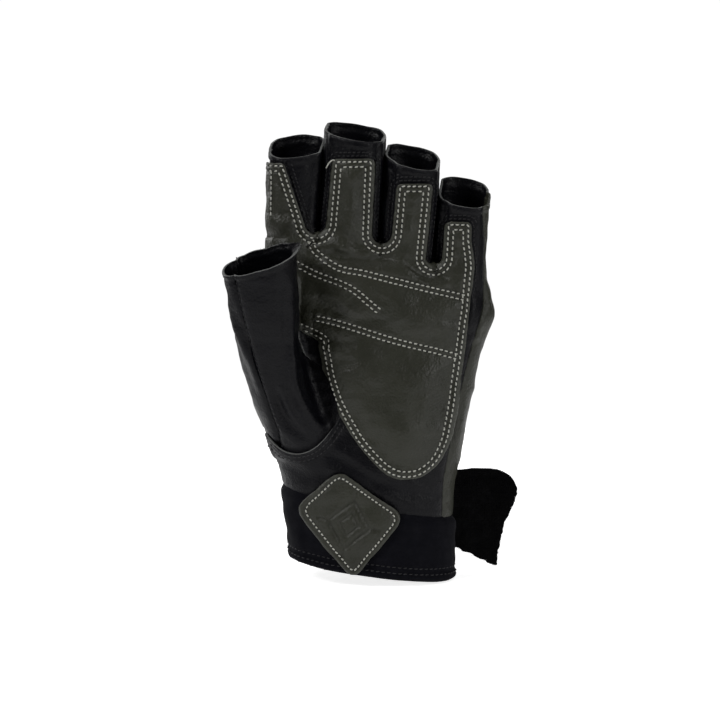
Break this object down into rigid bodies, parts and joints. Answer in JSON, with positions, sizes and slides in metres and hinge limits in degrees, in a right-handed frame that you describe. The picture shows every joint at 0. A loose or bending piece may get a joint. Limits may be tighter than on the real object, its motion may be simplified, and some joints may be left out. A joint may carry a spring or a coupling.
{
  "type": "fingerless glove",
  "caption": "Left-hand fingerless leather sports glove with a padded stitched palm overlay, thumb stall, stretch cuff and a wrist closing tab",
  "frame": {"origin": "the middle of the wrist opening", "axes": "+Z towards the fingertips, -Y out of the palm, -X towards the thumb"},
  "size_m": [0.1252, 0.0701, 0.1951],
  "materials": {
    "black_leather": "soft black goatskin, low sheen",
    "olive_leather": "dark olive grain leather, low sheen",
    "neoprene": "matte jersey-faced neoprene",
    "foam": "matte open-cell foam",
    "hook_cloth": "matte fuzzy hook-and-loop cloth"
  },
  "bodies": {
    "hand_shell": {"palm_panel": "black_leather", "back_panel": "black_leather", "side_panel": "olive_leather", "fourchette_index_middle": "black_leather", "fourchette_middle_ring": "black_leather", "fourchette_ring_little": "black_leather", "palm_overlay": "olive_leather", "knuckle_pad": "foam", "palm_pad": "foam", "heel_pad": "foam", "cuff_front": "neoprene", "cuff_back": "neoprene", "cuff_binding": "neoprene", "wrist_patch": "olive_leather", "tab_anchor": "neoprene"},
    "thumb_stall": {"thumb_front_panel": "black_leather", "thumb_back_panel": "black_leather"},
    "closing_tab": {"tab_backing": "neoprene", "tab_fastener": "hook_cloth"}
  },
  "joints": [
    {"name": "thumb_swing", "type": "hinge", "parent": "hand_shell", "child": "thumb_stall", "pos_m": [-0.031, -0.009, 0.07], "axis": [0, 0, 1], "range_deg": [-15, 15]},
    {"name": "tab_fold", "type": "hinge", "parent": "hand_shell", "child": "closing_tab", "pos_m": [0.038, 0.012, 0.02], "axis": [0, 0, 1], "range_deg": [-90, 90]}
  ]
}
